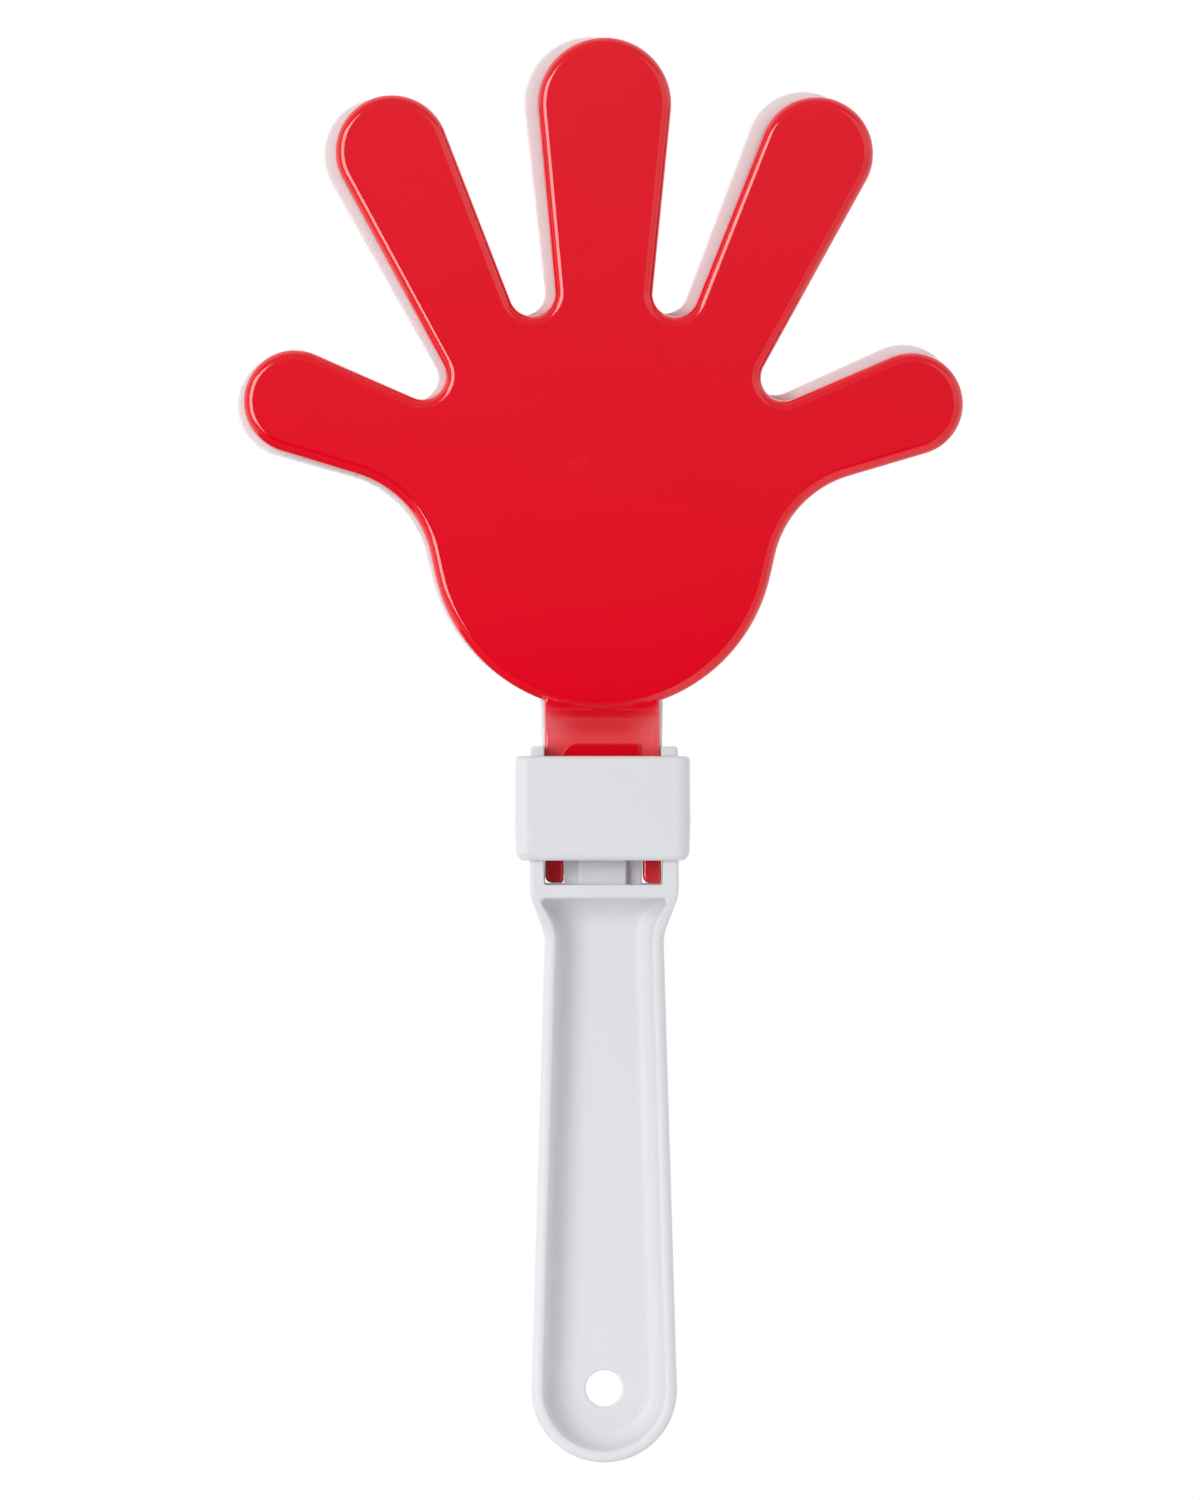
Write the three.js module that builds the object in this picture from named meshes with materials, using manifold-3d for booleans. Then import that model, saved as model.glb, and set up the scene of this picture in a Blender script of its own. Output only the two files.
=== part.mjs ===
// A hand clapper: a white handle, a sliding collar on its head, and two hand-shaped trays that swing on
// moulded lugs and clap together. Millimetres. +Z runs up the handle from its end, +X is to the right
// and the red hand faces -Y.
import * as THREE from "three";
import { mergeVertices } from "three/addons/utils/BufferGeometryUtils.js";
import Module from "manifold-3d";

const wasm = await Module();
wasm.setup();

// Driving dimensions of the handle, seen from the front. Heights are above the grip's end.
const gripEndRadius = 14.3;
const headHalfWidth = 14.6;
const waistInset = 2.9;
const waistHalfWidth = headHalfWidth - waistInset;
const sweepRadius = 8.0;
const shoulderHeight = 113.0;
const waistDrop = 10.7;
const waistHeight = shoulderHeight - waistDrop;
const headBarDrop = 2.3;
const recessTop = shoulderHeight - headBarDrop;
const windowBottom = shoulderHeight + 0.5;
const railLength = 27.2;
const railTopHeight = windowBottom + railLength;
const railTopRadius = 0.8;
const railThickness = 2.95;
const rimWidth = 2.3;
const hangHoleRadius = 3.8;

// Driving dimensions of the handle, seen from the side
const gripHalfDepth = 7.5;
const headHalfDepth = 10.4;
const webHalfThickness = 1.5;
const gripEdgeRadius = 1.4;
const headEdgeRadius = 0.6;
const recessFloorRadius = 1.5;

// Driving dimensions of the web and pillar that stand between the legs
const legWebHalfWidth = 7.4;
const legWebHalfThickness = 3.8;
const pillarHalfWidth = 4.3;
const pillarHalfDepth = 6.5;
const pillarRise = 12.0;
const pillarTop = windowBottom + pillarRise;

// Driving dimensions of the collar
const collarSideWall = 2.25;
const collarSideFit = 0.35;
const collarHalfWidth = headHalfWidth + collarSideFit + collarSideWall;
const railsAboveCollar = 1.9;
const collarLength = 20.45;
const collarTop = railTopHeight - railsAboveCollar;
const collarBottom = collarTop - collarLength;
const collarFaceWall = 2.0;
const collarCornerRadius = 2.6;
const collarEdgeRadius = 1.0;

// Driving dimensions of the hands: discs that the outline runs around, with heights above the lug axis.
// The disc of the flank, which the outline passes on its other side, rests against the palm's disc.
const handSpread = 70.6;
const thumbRadius = 10.1;
const indexInset = 28.9;
const palm = { x: 0, z: 61.4, radius: 33.8 };
const middleTip = { x: 0, z: 147.0, radius: 13.0 };
const indexTip = { x: handSpread - indexInset, z: 137.2, radius: 11.0 };
const thumbTip = { x: handSpread - thumbRadius, z: 88.2, radius: thumbRadius };
const innerValley = { x: 14.2, z: 109.7, radius: 4.4 };
const outerValley = { x: 35.8, z: 93.6, radius: 4.8 };
const flankRadius = 20.4;
const flankSpacing = 0.4;
const flankAngle = THREE.MathUtils.degToRad(-7.5);
const flankReach = palm.radius + flankRadius + flankSpacing;
const flank = {
  x: palm.x + flankReach * Math.cos(flankAngle),
  z: palm.z + flankReach * Math.sin(flankAngle),
  radius: flankRadius,
};
const trayDepth = 6.8;
const trayPanel = 1.6;
const trayWall = 3.4;
const neckEmbed = 3.0;
const trayEdgeRadius = 2.0;
const halfClapGap = 0.2;

// Driving dimensions of the necks, legs and lugs
const legReach = 6.2;
const legFloorClearance = 0.3;
const rearLegLift = 0.45;
const pivotHeight = windowBottom + legFloorClearance + legReach;
const pivotDepth = 3.1;
const neckThickness = 2.2;
const windowHalfWidth = headHalfWidth - railThickness;
const frontNeckHalfWidth = windowHalfWidth - 0.25;
const rearNeckHalfWidth = windowHalfWidth + 0.45;
const rearLegHalfWidth = windowHalfWidth - 0.85;
const frontForkHalfWidth = legWebHalfWidth + 0.4;
const rearForkHalfWidth = legWebHalfWidth + 1.0;
const forkTop = pillarTop - pivotHeight + 1.7;
const lugRadius = 1.1;
const lugReach = 2.5;
const lugHoleRadius = 1.5;
const neckFilletRadius = 4.5;
const stopOverlap = 0.5;
const stopHeight = 0.8;
const stopLength = 2.2;
const rearTilt = THREE.MathUtils.degToRad(1.45);
const rearSidePlay = 0.5;

// Named clearances, the fineness of round outlines, and how far solids run past what they cut or join
const slideClearance = 0.3;
const swingClearance = 1.9;
const chordError = 0.07;
const cutMargin = 5.0;
const gripIntoHead = 5.0;

// Solid helpers
function solid(geometry) {
  const bare = geometry.clone();
  bare.deleteAttribute("normal");
  bare.deleteAttribute("uv");
  const welded = mergeVertices(bare, 1e-4);
  const mesh = new wasm.Mesh({
    numProp: 3,
    vertProperties: new Float32Array(welded.attributes.position.array),
    triVerts: new Uint32Array(welded.index.array),
  });
  return new wasm.Manifold(mesh);
}

function union(...pieces) {
  return pieces.reduce((whole, piece) => whole.add(piece));
}

function box(low, high) {
  const size = new THREE.Vector3().subVectors(high, low);
  const geometry = new THREE.BoxGeometry(size.x, size.y, size.z);
  const middle = new THREE.Vector3().addVectors(low, high).multiplyScalar(0.5);
  geometry.translate(middle.x, middle.y, middle.z);
  return solid(geometry);
}

function span(x, y, z) {
  return box(new THREE.Vector3(x[0], y[0], z[0]), new THREE.Vector3(x[1], y[1], z[1]));
}

function rodAlongX(radius, xLow, xHigh, y, z) {
  const geometry = new THREE.CylinderGeometry(radius, radius, xHigh - xLow, 32);
  geometry.rotateZ(Math.PI / 2);
  geometry.translate((xLow + xHigh) / 2, y, z);
  return solid(geometry);
}

// An outline like a belt pulled around discs: a disc inside the outline bends it outwards, and one
// outside it bends it inwards. Every inset moves the whole outline in by the same distance.
function beltPoints(discs, inset = 0) {
  const turns = discs.map((disc) => ({ x: disc.x, y: disc.z, bend: (disc.outside ? -1 : 1) * disc.radius }));
  const normals = turns.map((from, index) => {
    const to = turns[(index + 1) % turns.length];
    const dx = to.x - from.x;
    const dy = to.y - from.y;
    const lean = Math.acos((from.bend - to.bend) / Math.hypot(dx, dy));
    return Math.atan2(dy, dx) - lean;
  });
  const points = [];
  turns.forEach((turn, index) => {
    const start = normals[(index + turns.length - 1) % turns.length];
    const sweepSign = turn.bend > 0 ? 1 : -1;
    const sweep = THREE.MathUtils.euclideanModulo(sweepSign * (normals[index] - start), 2 * Math.PI);
    const step = 2 * Math.acos(1 - Math.min(0.5, chordError / Math.abs(turn.bend)));
    const count = Math.max(1, Math.ceil(sweep / step));
    for (let k = 0; k <= count; k += 1) {
      const angle = start + (sweepSign * sweep * k) / count;
      const reach = turn.bend - inset;
      points.push(new THREE.Vector2(turn.x + reach * Math.cos(angle), turn.y + reach * Math.sin(angle)));
    }
  });
  return points;
}

function mirrored(right) {
  const left = right.map((disc) => ({ ...disc, x: -disc.x })).reverse();
  return [...right, ...left];
}

// Extrusions of a front outline along Y, and of a side outline along X
function alongY(points, yLow, yHigh, edge = 0) {
  const geometry = new THREE.ExtrudeGeometry(new THREE.Shape(points), {
    depth: yHigh - yLow - 2 * edge,
    bevelEnabled: edge > 0,
    bevelThickness: edge,
    bevelSize: edge,
    bevelOffset: -edge,
    bevelSegments: 3,
  });
  geometry.rotateX(Math.PI / 2);
  geometry.translate(0, yHigh - edge, 0);
  return solid(geometry);
}

function alongX(points, xLow, xHigh) {
  const geometry = new THREE.ExtrudeGeometry(new THREE.Shape(points), {
    depth: xHigh - xLow,
    bevelEnabled: false,
  });
  geometry.rotateX(Math.PI / 2);
  geometry.rotateZ(Math.PI / 2);
  geometry.translate(xLow, 0, 0);
  return solid(geometry);
}

function meshOf(name, body, material) {
  const made = body.getMesh();
  const geometry = new THREE.BufferGeometry();
  geometry.setAttribute("position", new THREE.BufferAttribute(made.vertProperties, 3));
  geometry.setIndex(new THREE.BufferAttribute(made.triVerts, 1));
  geometry.computeVertexNormals();
  const mesh = new THREE.Mesh(geometry, material);
  mesh.name = name;
  return mesh;
}

// The handle
function handleOutline(top, topRadius) {
  const endDisc = { x: 0, z: gripEndRadius, radius: gripEndRadius };
  const right = [
    { x: waistHalfWidth + sweepRadius, z: waistHeight, radius: sweepRadius, outside: true },
    { x: headHalfWidth - sweepRadius, z: shoulderHeight, radius: sweepRadius },
    { x: headHalfWidth - topRadius, z: top - topRadius, radius: topRadius },
  ];
  return [endDisc, ...mirrored(right)];
}

function recessOutline() {
  const inner = gripEndRadius - rimWidth;
  const cornerRadius = 1.25 * recessFloorRadius;
  const cornerZ = recessTop - cornerRadius;
  const bendX = waistHalfWidth + sweepRadius;
  const bendRadius = sweepRadius + rimWidth;
  const touching = Math.sqrt((bendRadius + cornerRadius) ** 2 - (cornerZ - waistHeight) ** 2);
  const cornerX = Math.min(headHalfWidth - rimWidth - cornerRadius, bendX - touching - 0.01);
  const right = [
    { x: bendX, z: waistHeight, radius: bendRadius, outside: true },
    { x: cornerX, z: cornerZ, radius: cornerRadius },
  ];
  return [{ x: 0, z: gripEndRadius, radius: inner }, ...mirrored(right)];
}

function sideOutline() {
  const right = [
    { x: gripHalfDepth - gripEdgeRadius, z: waistHeight - 2 * sweepRadius, radius: slideClearance },
    { x: gripHalfDepth + sweepRadius, z: waistHeight, radius: sweepRadius, outside: true },
    { x: headHalfDepth - sweepRadius, z: shoulderHeight, radius: sweepRadius },
    { x: headHalfDepth - railTopRadius, z: railTopHeight - railTopRadius, radius: railTopRadius },
  ];
  return mirrored(right);
}

function makeHandle() {
  const gripTop = beltPoints(handleOutline(shoulderHeight + gripIntoHead, 2 * gripEdgeRadius));
  const whole = beltPoints(handleOutline(railTopHeight, railTopRadius));
  const grip = alongY(gripTop, -gripHalfDepth, gripHalfDepth, gripEdgeRadius);
  const deep = alongY(whole, -headHalfDepth, headHalfDepth, headEdgeRadius);
  const head = deep.intersect(alongX(beltPoints(sideOutline()), -headHalfWidth - 1, headHalfWidth + 1));
  const upright = union(grip, head);

  const far = 2 * headHalfDepth;
  const gapTop = railTopHeight + cutMargin;
  const gap = span([-windowHalfWidth, windowHalfWidth], [-far, far], [windowBottom, gapTop]);
  const recess = beltPoints(recessOutline());
  const pocketDepth = far - webHalfThickness;
  const pocket = alongY(recess, webHalfThickness, webHalfThickness + pocketDepth, recessFloorRadius);
  const frontPocket = pocket.mirror([0, 1, 0]);
  const hole = rodAlongX(hangHoleRadius, -far, far, 0, 0).rotate([0, 0, 90]).translate([0, 0, gripEndRadius]);
  const lugHoles = [-1, 1].map((side) => {
    const reach = headHalfWidth + cutMargin;
    return rodAlongX(lugHoleRadius, -reach, reach, side * pivotDepth, pivotHeight);
  });

  const root = windowBottom - 1;
  const web = span([-legWebHalfWidth, legWebHalfWidth], [-legWebHalfThickness, legWebHalfThickness],
    [root, pillarTop]);
  const pillar = span([-pillarHalfWidth, pillarHalfWidth], [-pillarHalfDepth, pillarHalfDepth],
    [root, pillarTop]);
  const drilled = lugHoles.reduce((body, cut) => body.subtract(cut), upright.subtract(gap));
  const pocketed = drilled.subtract(pocket).subtract(frontPocket).subtract(hole);
  return union(pocketed, web, pillar);
}

// The collar
function makeCollar() {
  const collarHalfDepth = headHalfDepth + slideClearance + collarFaceWall;
  const plan = (halfX, halfY, radius) => beltPoints(mirrored([
    { x: halfX - radius, z: -halfY + radius, radius },
    { x: halfX - radius, z: halfY - radius, radius },
  ]));
  const rise = collarTop - collarBottom;
  const outer = alongY(plan(collarHalfWidth, collarHalfDepth, collarCornerRadius),
    -rise / 2, rise / 2, collarEdgeRadius);
  const innerHalfX = collarHalfWidth - collarSideWall;
  const innerHalfY = collarHalfDepth - collarFaceWall;
  const inner = alongY(plan(innerHalfX, innerHalfY, 0.8), -rise, rise);
  return outer.subtract(inner).rotate([90, 0, 0]);
}

// One hand in its own frame: the lug axis is X through the origin, the palm faces -Y
function handOutline() {
  const right = [
    { ...flank, outside: true },
    thumbTip,
    { ...outerValley, outside: true },
    indexTip,
    { ...innerValley, outside: true },
  ];
  const left = right.map((disc) => ({ ...disc, x: -disc.x })).reverse();
  return [palm, ...right, middleTip, ...left];
}

function makeTray() {
  const rim = pivotDepth - halfClapGap;
  const face = rim - trayDepth;
  const outline = handOutline();
  const slab = alongY(beltPoints(outline), face, rim + 2 * trayEdgeRadius, trayEdgeRadius);
  const far = 4 * (middleTip.z + middleTip.radius);
  const beyondRim = span([-far, far], [rim, rim + far], [-far, far]);
  const hollow = alongY(beltPoints(outline, trayWall), face + trayPanel, rim + 1);
  return slab.subtract(beyondRim).subtract(hollow);
}

// The neck's side profile: a flat bar with a round lower end, and a sweep forwards up to the palm
function neckProfile(reach, palmBottom, embed) {
  const half = neckThickness / 2;
  const front = -half;
  const shape = new THREE.Shape();
  shape.moveTo(half, -reach + half);
  shape.lineTo(half, palmBottom + embed);
  shape.lineTo(front - neckFilletRadius / 2, palmBottom + embed);
  shape.lineTo(front - neckFilletRadius / 2, palmBottom + 0.8);
  shape.quadraticCurveTo(front, palmBottom + 0.2, front, palmBottom - neckFilletRadius);
  shape.lineTo(front, -reach + half);
  shape.absarc(0, -reach + half, half, Math.PI, 2 * Math.PI, false);
  return shape.getPoints(8).slice(0, -1);
}

function makeLegs(reach, legHalfWidth, forkHalfWidth, shoulderHalfWidth, top) {
  const depth = 2 * trayDepth;
  const legRadius = (legHalfWidth - forkHalfWidth) / 2 - 0.01;
  const shoulder = railTopHeight + swingClearance - pivotHeight;
  const leg = [
    { x: forkHalfWidth + legRadius, z: legRadius - reach, radius: legRadius },
    { x: legHalfWidth - legRadius, z: legRadius - reach, radius: legRadius },
    { x: legHalfWidth - 0.2, z: top, radius: 0.2 },
    { x: forkHalfWidth + 0.2, z: top, radius: 0.2 },
  ];
  const points = beltPoints(leg);
  const right = alongY(points, -depth, depth);
  const left = right.mirror([1, 0, 0]);
  const plate = span([-legHalfWidth, legHalfWidth], [-depth, depth], [forkTop, top]);
  const wide = span([-shoulderHalfWidth, shoulderHalfWidth], [-depth, depth], [shoulder, top]);
  return union(right, left, plate, wide);
}

function makeHand(reach, legHalfWidth, forkHalfWidth, shoulderHalfWidth) {
  const palmBottom = palm.z - palm.radius;
  const stopHalfWidth = forkHalfWidth + stopOverlap;
  const front = makeLegs(reach, legHalfWidth, forkHalfWidth, shoulderHalfWidth, palmBottom + neckEmbed);
  const profile = neckProfile(reach, palmBottom, neckEmbed);
  const neck = front.intersect(alongX(profile, -shoulderHalfWidth - 1, shoulderHalfWidth + 1));
  const stopBottom = collarTop + slideClearance - pivotHeight;
  const stopFace = -neckThickness / 2 - stopHeight;
  const stop = alongX([
    new THREE.Vector2(0, stopBottom),
    new THREE.Vector2(0, stopBottom + stopLength),
    new THREE.Vector2(stopFace + 0.3, stopBottom + stopLength),
    new THREE.Vector2(stopFace, stopBottom + stopLength - 0.5),
    new THREE.Vector2(stopFace, stopBottom),
  ].reverse(), -stopHalfWidth, stopHalfWidth);
  const lugEnd = legHalfWidth + lugReach;
  const lugStart = legHalfWidth - 1;
  const lugs = [rodAlongX(lugRadius, lugStart, lugEnd, 0, 0), rodAlongX(lugRadius, -lugEnd, -lugStart, 0, 0)];
  return union(makeTray(), neck, stop, ...lugs);
}

// Materials
const redPlastic = new THREE.MeshStandardMaterial({ name: "red_plastic", color: 0xe01f2c, roughness: 0.18 });
const whiteGloss = new THREE.MeshStandardMaterial({ name: "white_gloss", color: 0xe6e6ea, roughness: 0.25 });
const whiteSatin = new THREE.MeshStandardMaterial({ name: "white_satin", color: 0xe2e3e8, roughness: 0.5 });

// Assembly
const clapper = new THREE.Group();
clapper.name = "hand_clapper";

const handle = meshOf("handle", makeHandle(), whiteSatin);
clapper.add(handle);

const collar = meshOf("slide_collar", makeCollar(), whiteSatin);
collar.position.set(0, 0, (collarBottom + collarTop) / 2);
clapper.add(collar);

const frontBody = makeHand(legReach, frontNeckHalfWidth, frontForkHalfWidth, frontNeckHalfWidth);
const frontHand = meshOf("front_hand", frontBody, redPlastic);
frontHand.position.set(0, -pivotDepth, pivotHeight);
clapper.add(frontHand);

const rearReach = legReach - rearLegLift;
const rearBody = makeHand(rearReach, rearLegHalfWidth, rearForkHalfWidth, rearNeckHalfWidth);
const rearHand = meshOf("rear_hand", rearBody, whiteGloss);
rearHand.position.set(rearSidePlay, pivotDepth, pivotHeight);
rearHand.rotation.set(0, -rearTilt, Math.PI, "YXZ");
clapper.add(rearHand);

export default clapper;
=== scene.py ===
# %% [markdown]
# # A hand clapper, dressed for its portrait
#
# The object is a party noisemaker of four plastic mouldings: a white handle, a white collar that slides on
# the handle's head, a red hand in front and a white hand behind it. The hands swing on small lugs and clap
# together. It could be sculpted as one lump, or built from boxes with bevels. Here every moulding is drawn
# the way its mould was cut: an outline of arcs, a depth for each height, and a rounded edge that follows
# the outline.

# %% Load the fixed frame
import math

import bmesh
import bpy
import numpy as np
from mathutils import Matrix, Vector
from mathutils.geometry import delaunay_2d_cdt


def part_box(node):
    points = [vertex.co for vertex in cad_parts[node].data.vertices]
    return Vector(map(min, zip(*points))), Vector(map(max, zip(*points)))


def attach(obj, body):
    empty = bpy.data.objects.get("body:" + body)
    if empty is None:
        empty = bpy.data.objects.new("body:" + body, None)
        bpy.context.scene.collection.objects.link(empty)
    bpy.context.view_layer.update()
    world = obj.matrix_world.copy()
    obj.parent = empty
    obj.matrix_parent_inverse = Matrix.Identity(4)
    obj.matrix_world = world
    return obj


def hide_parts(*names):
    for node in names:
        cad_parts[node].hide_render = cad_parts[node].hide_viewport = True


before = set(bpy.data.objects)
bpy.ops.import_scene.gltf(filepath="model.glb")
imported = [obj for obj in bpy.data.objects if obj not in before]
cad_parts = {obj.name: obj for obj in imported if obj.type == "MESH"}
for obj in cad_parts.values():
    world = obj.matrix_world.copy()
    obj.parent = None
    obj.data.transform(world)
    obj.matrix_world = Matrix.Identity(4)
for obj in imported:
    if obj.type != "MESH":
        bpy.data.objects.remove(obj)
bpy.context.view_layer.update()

MM = 0.001

# %% [markdown]
# ## Camera
#
# The photograph is taken square on to the red palm, from far enough away that the sides of the fingers
# hardly show. A camera can be placed by eye, but a ruler is better: one photo pixel covers 0.1967 mm on the
# red palm, so the lens and the distance follow from the height of the picture. The focal length is worked
# out for a sensor whose long side is the picture's height.

# %% Camera
photo_width_px = 1200
photo_height_px = 1500
mm_per_px = 0.1967
photo_axis_px = 604.25
photo_foot_px = 1461.7
camera_distance = 1.30
palm_plane_y = -0.005
sensor_mm = 36.0

scene = bpy.context.scene
view_height = photo_height_px * mm_per_px * MM
camera_x = (photo_width_px / 2 - photo_axis_px) * mm_per_px * MM
camera_z = (photo_foot_px - photo_height_px / 2) * mm_per_px * MM

lens_data = bpy.data.cameras.new("portrait_camera")
lens_data.sensor_fit = "AUTO"
lens_data.sensor_width = sensor_mm
lens_data.lens = sensor_mm * camera_distance / view_height
lens_data.clip_start = 0.05
lens_data.clip_end = 20.0
camera = bpy.data.objects.new("portrait_camera", lens_data)
camera.location = (camera_x, palm_plane_y - camera_distance, camera_z)
camera.rotation_euler = (math.pi / 2, 0.0, 0.0)
scene.collection.objects.link(camera)
scene.camera = camera
print("lens", round(lens_data.lens, 1), "mm at", camera_distance, "m")

# %% [markdown]
# ## Nodes in plain code
#
# The world, the plastics and the collar are all node trees. Each node could be made, set and linked line by
# line, but such a list is long and hard to read. A few helpers take sockets and plain numbers alike, so
# that a sum reads much like a formula.

# %% Node helpers
def node(owner, kind, **values):
    """A new node in a tree, with attributes set from keywords."""
    made = owner.nodes.new(kind)
    for name, value in values.items():
        setattr(made, name, value)
    return made


def feed(owner, target, value):
    """Links a socket to an input, or writes a plain value into it."""
    if isinstance(value, bpy.types.NodeSocket):
        owner.links.new(value, target)
    else:
        target.default_value = value


def calc(owner, operation, *values):
    """A Math node on sockets or numbers, in their order."""
    made = node(owner, "ShaderNodeMath", operation=operation)
    for target, value in zip(made.inputs, values):
        feed(owner, target, value)
    return made.outputs["Value"]


def mix(owner, factor, first, second, kind="FLOAT"):
    """Goes from a first number to a second one as the factor rises. Kind RGBA does so for colours."""
    made = node(owner, "ShaderNodeMix", data_type=kind)
    place, result = {"FLOAT": (2, 0), "RGBA": (6, 2)}[kind]
    for key, value in (("Factor", factor), (place, first), (place + 1, second)):
        feed(owner, made.inputs[key], value)
    return made.outputs[result]


def mix_colours(owner, factor, *colours):
    """Mixes two colours, each a socket or (red, green, blue)."""
    return mix(owner, factor, *((*c, 1.0) if isinstance(c, tuple) else c for c in colours), "RGBA")


def range_of(owner, source, low, high, to_low, to_high, interpolation="SMOOTHSTEP"):
    """Maps a value from one range to another, smoothly unless told otherwise."""
    made = node(owner, "ShaderNodeMapRange", interpolation_type=interpolation)
    feed(owner, made.inputs["Value"], source)
    for name, value in (("From Min", low), ("From Max", high), ("To Min", to_low), ("To Max", to_high)):
        feed(owner, made.inputs[name], value)
    return made.outputs["Result"]


def axes_of(owner, vector):
    """The X, Y and Z of a vector socket."""
    made = node(owner, "ShaderNodeSeparateXYZ")
    owner.links.new(vector, made.inputs["Vector"])
    return made.outputs["X"], made.outputs["Y"], made.outputs["Z"]


def noise(owner, vector, scale, detail):
    """A noise texture whose scale is a socket or a number."""
    made = node(owner, "ShaderNodeTexNoise")
    made.inputs["Detail"].default_value = detail
    owner.links.new(vector, made.inputs["Vector"])
    feed(owner, made.inputs["Scale"], scale)
    return made.outputs["Fac"]


print("node helpers ready")

# %% [markdown]
# ## Light
#
# The edges of the red palm tell what stood around it. Every edge that faces left carries a narrow, bright
# line, strongest where the plastic tilts by ten degrees, so a bright softbox stood about twenty degrees
# left of the camera. Every edge that faces right carries a wide, dull line: a large, weak panel on the
# right. Edges that face up are a little pale and edges that face down are not, so the ceiling was pale and
# the ground was dark.
#
# A plain white world would put a veil over the glossy red, so the world answers each kind of ray by itself.
# The camera sees white. Reflections see a white sweep behind the clapper, a pale left wall, and a dim room
# in front: almost black up to the edge of a table, then slowly paler towards the ceiling. Scattered light
# comes from behind and from above, and hardly at all from the front. The ranges below are the X, Y or Z of
# a direction, from -1 to 1.

# %% World
back_sweep = 1.0
left_wall = 0.35
below_table = 0.005
above_table = 0.05
front_ceiling = 0.26
table_edge = 0.0195
table_blur = 0.0015
glow_left = 0.07
glow_right = 0.08
glow_above = 0.40
glow_behind = 0.95

scene.view_settings.view_transform = "Standard"
world = bpy.data.worlds.new("white_studio")
scene.world = world
world.use_nodes = True
tree = world.node_tree
tree.nodes.clear()

rightwards, backwards, upwards = axes_of(tree, node(tree, "ShaderNodeTexCoord").outputs["Generated"])
behind = range_of(tree, backwards, -0.55, 0.25, 0.0, 1.0)
table = range_of(tree, upwards, table_edge - table_blur, table_edge + table_blur, below_table, above_table)
ceiling = range_of(tree, upwards, -0.005, 0.14, 0.0, front_ceiling - above_table)
wall = range_of(tree, rightwards, -0.75, -0.30, left_wall, below_table)
reflected = mix(tree, behind, calc(tree, "MAXIMUM", calc(tree, "ADD", ceiling, table), wall), back_sweep)

front_glow = range_of(tree, rightwards, -0.7, 0.7, glow_left, glow_right)
overhead = range_of(tree, upwards, 0.15, 0.75, 0.0, glow_above)
scattered = mix(tree, behind, calc(tree, "ADD", front_glow, overhead), glow_behind)

ray = node(tree, "ShaderNodeLightPath")
unseen = mix(tree, ray.outputs["Is Glossy Ray"], scattered, reflected)
sky = node(tree, "ShaderNodeBackground")
sky.inputs["Color"].default_value = (1.0, 1.0, 1.0, 1.0)
feed(tree, sky.inputs["Strength"], mix(tree, ray.outputs["Is Camera Ray"], unseen, 1.0))
out = node(tree, "ShaderNodeOutputWorld")
tree.links.new(sky.outputs["Background"], out.inputs["Surface"])
print("world nodes:", len(tree.nodes))

# %% Softboxes
clapper_middle = Vector((0.0, 0.0, 0.14))


def softbox(name, azimuth, elevation, distance, width, height, radiance):
    """A rectangular lamp that looks at the clapper. Azimuth 0 is the camera's side and 90 the right."""
    data = bpy.data.lights.new(name, "AREA")
    data.shape = "RECTANGLE"
    data.size, data.size_y = width, height
    data.energy = radiance * math.pi * width * height
    lamp = bpy.data.objects.new(name, data)
    a, e = math.radians(azimuth), math.radians(elevation)
    side = Vector((math.sin(a) * math.cos(e), -math.cos(a) * math.cos(e), math.sin(e)))
    lamp.location = clapper_middle + side * distance
    lamp.rotation_euler = (-side).to_track_quat("-Z", "Y").to_euler()
    scene.collection.objects.link(lamp)


softbox("left_softbox", -35, 9, 1.2, 0.69, 0.84, 5.0)
softbox("right_panel", 50, 0, 1.3, 2.00, 1.80, 0.49)
softbox("back_panel", 165, 25, 1.8, 1.20, 1.20, 0.8)

# %% [markdown]
# ## Floor
#
# The photograph shows no floor: the clapper floats on white. A plain pale disc lies well below the grip,
# out of the portrait, so that views from other sides have something to stand over and catch a soft shadow.
# Downward edges of the red hand are as deep a red as its middle, so the paper answers reflections with a
# dark tone, paler on the right.

# %% Floor
floor_level = -0.080
floor_radius = 0.45
floor_sides = 96

floor_mesh = bpy.data.meshes.new("floor")
shape = bmesh.new()
bmesh.ops.create_circle(shape, cap_ends=True, segments=floor_sides, radius=floor_radius)
bmesh.ops.translate(shape, verts=shape.verts, vec=(0.0, 0.0, floor_level))
shape.to_mesh(floor_mesh)
shape.free()
floor = bpy.data.objects.new("floor", floor_mesh)
scene.collection.objects.link(floor)

# %% Paper
paper = bpy.data.materials.new("pale_paper")
paper.use_nodes = True
tree = paper.node_tree
place = node(tree, "ShaderNodeTexCoord").outputs["Object"]
seen_tone = mix_colours(tree, noise(tree, place, 30.0, 2.0), (0.88,) * 3, (0.91,) * 3)
on_the_right = range_of(tree, axes_of(tree, place)[0], 0.02, 0.12, 0.0, 1.0)
reflected_tone = mix_colours(tree, on_the_right, (0.04,) * 3, (0.70,) * 3)
ray = node(tree, "ShaderNodeLightPath")
paper_shader = tree.nodes["Principled BSDF"]
paper_shader.inputs["Roughness"].default_value = 0.9
feed(tree, paper_shader.inputs["Base Color"],
     mix_colours(tree, ray.outputs["Is Glossy Ray"], seen_tone, reflected_tone))
floor_mesh.materials.append(paper)
print("floor at", floor_level / MM, "mm")

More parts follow.
